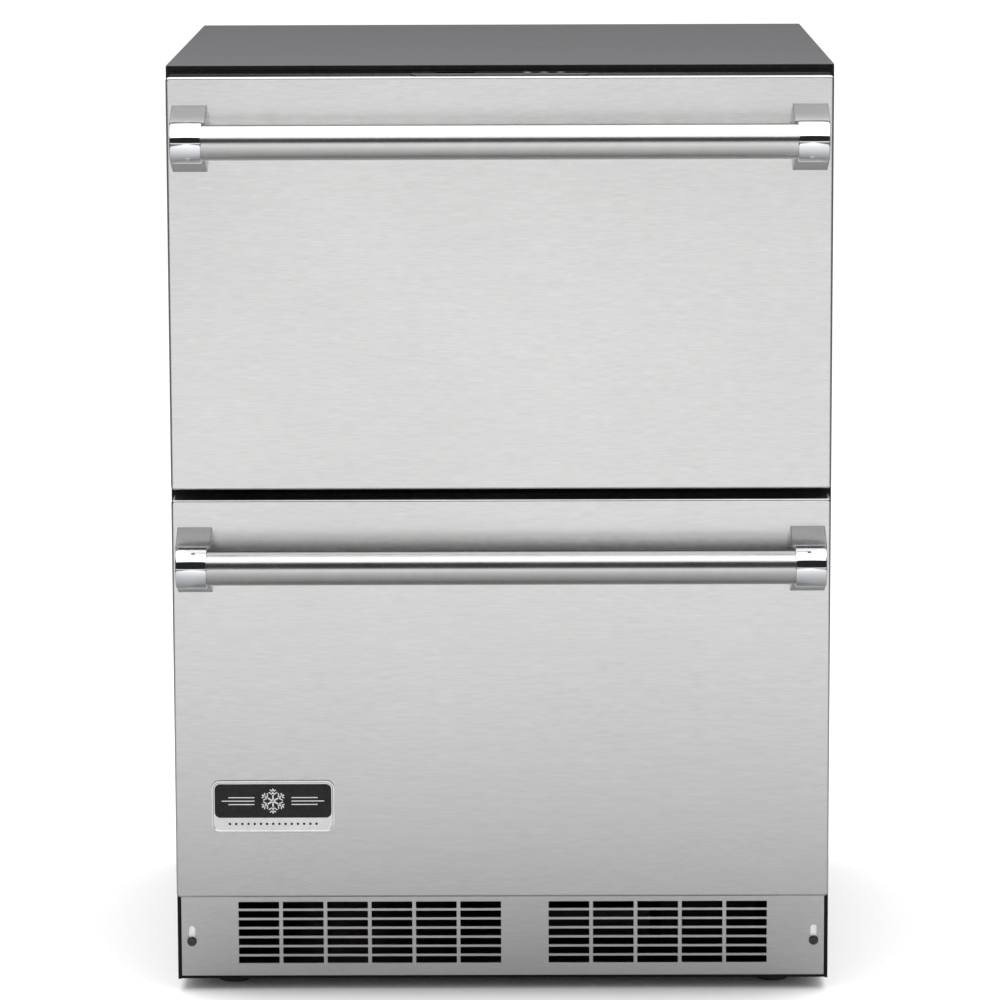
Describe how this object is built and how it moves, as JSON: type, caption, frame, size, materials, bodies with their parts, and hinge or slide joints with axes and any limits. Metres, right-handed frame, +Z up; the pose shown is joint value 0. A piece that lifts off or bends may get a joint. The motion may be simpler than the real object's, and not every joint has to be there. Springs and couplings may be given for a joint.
{
  "type": "under counter refrigerator with drawers",
  "caption": "Under counter refrigerator with stacked stainless drawers, bar handles, a slotted kick plate and a black cabinet",
  "frame": {"origin": "centre of the overall footprint, on the surface that the levelling legs stand on", "axes": "+Z up, +X to the right as seen from the front, the drawer fronts face -Y"},
  "size_m": [0.606, 0.6735, 0.864],
  "materials": {
    "brushed_stainless": "satin",
    "polished_stainless": "polished",
    "chrome_caps": "polished",
    "black_enamel": "satin",
    "textured_grey_paint": "matte",
    "galvanised_sheet": "satin",
    "white_liner": "satin",
    "foam": "matte",
    "gasket_rubber": "matte",
    "bin_plastic": "gloss",
    "clear_plastic": "gloss",
    "coil_aluminium": "satin",
    "black_plastic": "matte",
    "compressor_enamel": "satin",
    "copper_pipe": "polished",
    "zinc_screw": "satin",
    "control_black": "gloss",
    "display_glass": "gloss",
    "key_grey": "matte",
    "badge_plate": "gloss",
    "light_diffuser": "gloss"
  },
  "bodies": {
    "cabinet": {"top_panel": "textured_grey_paint", "left_side_panel": "black_enamel", "right_side_panel": "black_enamel", "back_panel": "galvanised_sheet", "rear_cover": "galvanised_sheet", "base_pan": "black_enamel", "insulation_foam": "foam", "inner_liner": "white_liner", "front_frame": "black_enamel", "cabinet_rails": "galvanised_sheet", "light_bar": "light_diffuser", "evaporator_coil": "coil_aluminium", "evaporator_cover": "white_liner", "evaporator_fan_motor": "galvanised_sheet", "compressor": "compressor_enamel", "condenser_coil": "coil_aluminium", "condenser_shroud": "galvanised_sheet", "condenser_fan_motor": "galvanised_sheet", "refrigerant_tubing": "copper_pipe", "filter_drier": "copper_pipe", "drain_tray": "black_plastic", "control_box": "galvanised_sheet", "power_inlet": "black_plastic", "air_baffle": "galvanised_sheet", "kick_plate_screws": "zinc_screw"},
    "upper_drawer": {"upper_front_skin": "brushed_stainless", "upper_front_foam": "foam", "upper_front_liner": "white_liner", "upper_gasket": "gasket_rubber", "upper_handle_bar": "polished_stainless", "upper_handle_brackets": "brushed_stainless", "upper_handle_caps": "chrome_caps", "upper_bin": "bin_plastic", "upper_inner_members": "galvanised_sheet", "control_module": "control_black", "display_window": "display_glass"},
    "lower_drawer": {"lower_front_skin": "brushed_stainless", "lower_front_foam": "foam", "lower_front_liner": "white_liner", "lower_gasket": "gasket_rubber", "lower_handle_bar": "polished_stainless", "lower_handle_brackets": "brushed_stainless", "lower_handle_caps": "chrome_caps", "lower_bin": "bin_plastic", "lower_inner_members": "galvanised_sheet", "badge": "badge_plate"},
    "upper_slide_members": {"upper_middle_members": "galvanised_sheet"},
    "lower_slide_members": {"lower_middle_members": "galvanised_sheet"},
    "upper_bin_divider": {"upper_divider": "clear_plastic"},
    "lower_bin_divider": {"lower_divider": "clear_plastic"},
    "kick_plate": {"kick_plate": "brushed_stainless"},
    "condenser_fan": {"condenser_fan": "black_plastic"},
    "evaporator_fan": {"evaporator_fan": "black_plastic"},
    "front_left_leg": {"front_left_leg": "zinc_screw"},
    "front_right_leg": {"front_right_leg": "zinc_screw"},
    "rear_left_leg": {"rear_left_leg": "zinc_screw"},
    "rear_right_leg": {"rear_right_leg": "zinc_screw"},
    "power_key": {"power_key": "key_grey"},
    "warmer_key": {"warmer_key": "key_grey"},
    "colder_key": {"colder_key": "key_grey"}
  },
  "joints": [
    {"name": "upper_drawer_slide", "type": "slide", "parent": "cabinet", "child": "upper_drawer", "axis": [0, -1, 0], "range_m": [0, 0.42]},
    {"name": "upper_middle_members_slide", "type": "slide", "parent": "cabinet", "child": "upper_slide_members", "axis": [0, -1, 0], "range_m": [0, 0.21]},
    {"name": "upper_divider_slide", "type": "slide", "parent": "upper_drawer", "child": "upper_bin_divider", "axis": [1, 0, 0], "range_m": [-0.22, 0.22]},
    {"name": "lower_drawer_slide", "type": "slide", "parent": "cabinet", "child": "lower_drawer", "axis": [0, -1, 0], "range_m": [0, 0.42]},
    {"name": "lower_middle_members_slide", "type": "slide", "parent": "cabinet", "child": "lower_slide_members", "axis": [0, -1, 0], "range_m": [0, 0.21]},
    {"name": "lower_divider_slide", "type": "slide", "parent": "lower_drawer", "child": "lower_bin_divider", "axis": [1, 0, 0], "range_m": [-0.22, 0.22]},
    {"name": "power_key_press", "type": "slide", "parent": "upper_drawer", "child": "power_key", "axis": [0, 0, -1], "range_m": [0, 0.0006], "stiffness_N_per_m": 1500},
    {"name": "warmer_key_press", "type": "slide", "parent": "upper_drawer", "child": "warmer_key", "axis": [0, 0, -1], "range_m": [0, 0.0006], "stiffness_N_per_m": 1500},
    {"name": "colder_key_press", "type": "slide", "parent": "upper_drawer", "child": "colder_key", "axis": [0, 0, -1], "range_m": [0, 0.0006], "stiffness_N_per_m": 1500},
    {"name": "front_left_leg_wind_out", "type": "slide", "parent": "cabinet", "child": "front_left_leg", "axis": [0, 0, -1], "range_m": [0, 0.025]},
    {"name": "front_right_leg_wind_out", "type": "slide", "parent": "cabinet", "child": "front_right_leg", "axis": [0, 0, -1], "range_m": [0, 0.025]},
    {"name": "rear_left_leg_wind_out", "type": "slide", "parent": "cabinet", "child": "rear_left_leg", "axis": [0, 0, -1], "range_m": [0, 0.025]},
    {"name": "rear_right_leg_wind_out", "type": "slide", "parent": "cabinet", "child": "rear_right_leg", "axis": [0, 0, -1], "range_m": [0, 0.025]},
    {"name": "kick_plate_slide", "type": "slide", "parent": "cabinet", "child": "kick_plate", "axis": [0, 0, -1], "range_m": [0, 0.01]},
    {"name": "condenser_fan_spin", "type": "hinge", "parent": "cabinet", "child": "condenser_fan", "pos_m": [-0.08405, 0.21525, 0.14], "axis": [1, 0, 0], "continuous": true},
    {"name": "evaporator_fan_spin", "type": "hinge", "parent": "cabinet", "child": "evaporator_fan", "pos_m": [-0.12726, 0.25975, 0.66975], "axis": [0, 1, 0], "continuous": true}
  ],
  "couplings": [
    {"joint": "upper_middle_members_slide", "follows": "upper_drawer_slide", "ratio": 0.5},
    {"joint": "lower_middle_members_slide", "follows": "lower_drawer_slide", "ratio": 0.5}
  ]
}
